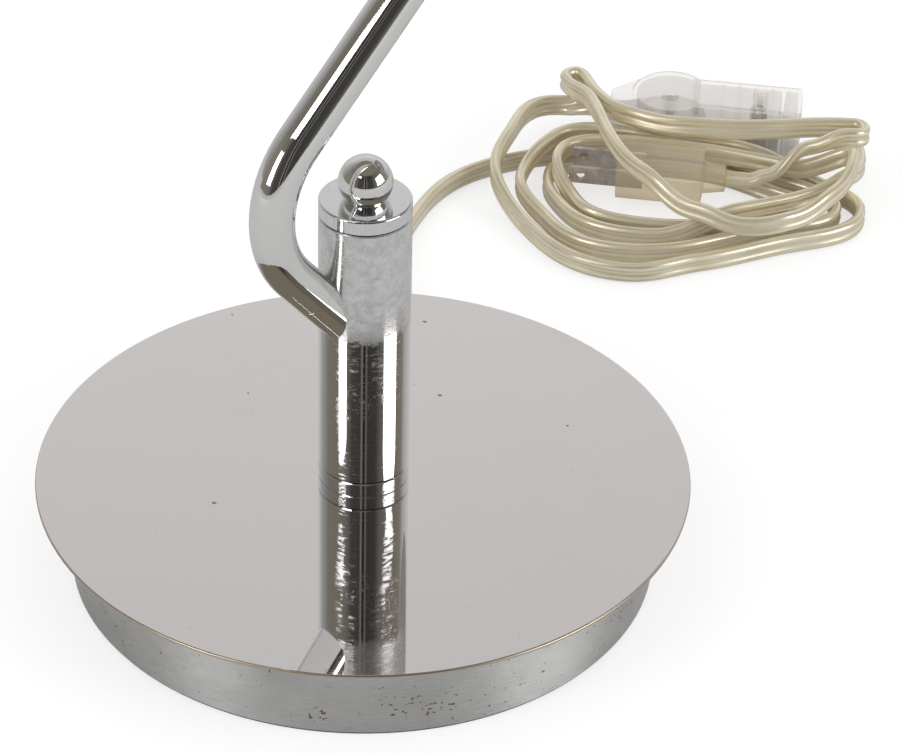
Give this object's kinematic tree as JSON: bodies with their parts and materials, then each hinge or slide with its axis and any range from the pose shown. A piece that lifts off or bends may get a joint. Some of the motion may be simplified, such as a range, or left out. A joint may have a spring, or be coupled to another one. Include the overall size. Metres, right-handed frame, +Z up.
{
  "type": "table lamp",
  "caption": "Chrome table lamp with a round weighted base, a swinging swan-neck arm on a post with a ball finial, a tilting dome shade and a clear flat cord with a wheel switch.",
  "frame": {"origin": "on the table under the post's axis, at the middle of the felt pad's underside", "axes": "+Z up along the post, +X toward the shade in the arm's plane, +Y to the left of the arm seen from the post toward the shade"},
  "size_m": [0.3855, 0.264, 0.4272],
  "materials": {
    "chrome": "polished plated",
    "satin": "brushed with small rust pits",
    "steel": "plain zinc plated",
    "iron": "rough cast",
    "brass": "plain",
    "alloy": "plain",
    "felt": "felt",
    "nylon": "moulded",
    "black": "moulded",
    "clear": "clear moulded",
    "amber": "clear amber moulded",
    "flex": "clear sheath over bright strands",
    "glass": "opal"
  },
  "bodies": {
    "base": {"felt_pad": "felt", "bottom_cover": "steel", "cover_screws": "steel", "ballast": "iron", "skirt": "satin", "top_plate": "chrome", "base_washer": "steel", "base_nut": "brass", "strain_relief": "clear", "inner_lead": "flex", "foot_ring": "chrome", "post": "steel", "stop_pin": "steel", "cap": "chrome", "finial": "chrome", "cord_lead": "flex", "lamp_coil": "flex", "plug_coil": "flex", "switch_base": "clear", "switch_cover": "clear", "wheel_pin": "steel", "switch_screws": "steel", "switch_contacts": "brass", "plug_body": "amber", "plug_blades": "steel"},
    "arm": {"sleeve": "chrome", "lower_bush": "nylon", "upper_bush": "nylon", "arm_ferrule": "chrome", "arm_tube": "chrome", "arm_lead": "flex", "swivel_fork": "chrome", "pivot_screw": "steel", "pivot_nut": "chrome"},
    "head": {"swivel_tongue": "chrome", "holder_cover": "chrome", "holder_nut": "brass", "holder_body": "black", "screw_shell": "brass", "centre_contact": "brass", "shade": "chrome", "shade_ring": "black", "bulb_cap": "alloy", "bulb_glass": "glass"},
    "wheel": {"switch_wheel": "clear"}
  },
  "joints": [
    {"name": "arm_swing", "type": "hinge", "parent": "base", "child": "arm", "pos_m": [0, 0, 0.08], "axis": [0, 0, 1], "range_deg": [-150, 150]},
    {"name": "shade_tilt", "type": "hinge", "parent": "arm", "child": "head", "pos_m": [0.16631, 0, 0.33842], "axis": [0, -1, 0], "range_deg": [-15, 60]},
    {"name": "switch_turn", "type": "hinge", "parent": "base", "child": "wheel", "pos_m": [0.23872, 0.12344, 0.011], "axis": [0, 0, 1], "range_deg": [0, 270]}
  ]
}
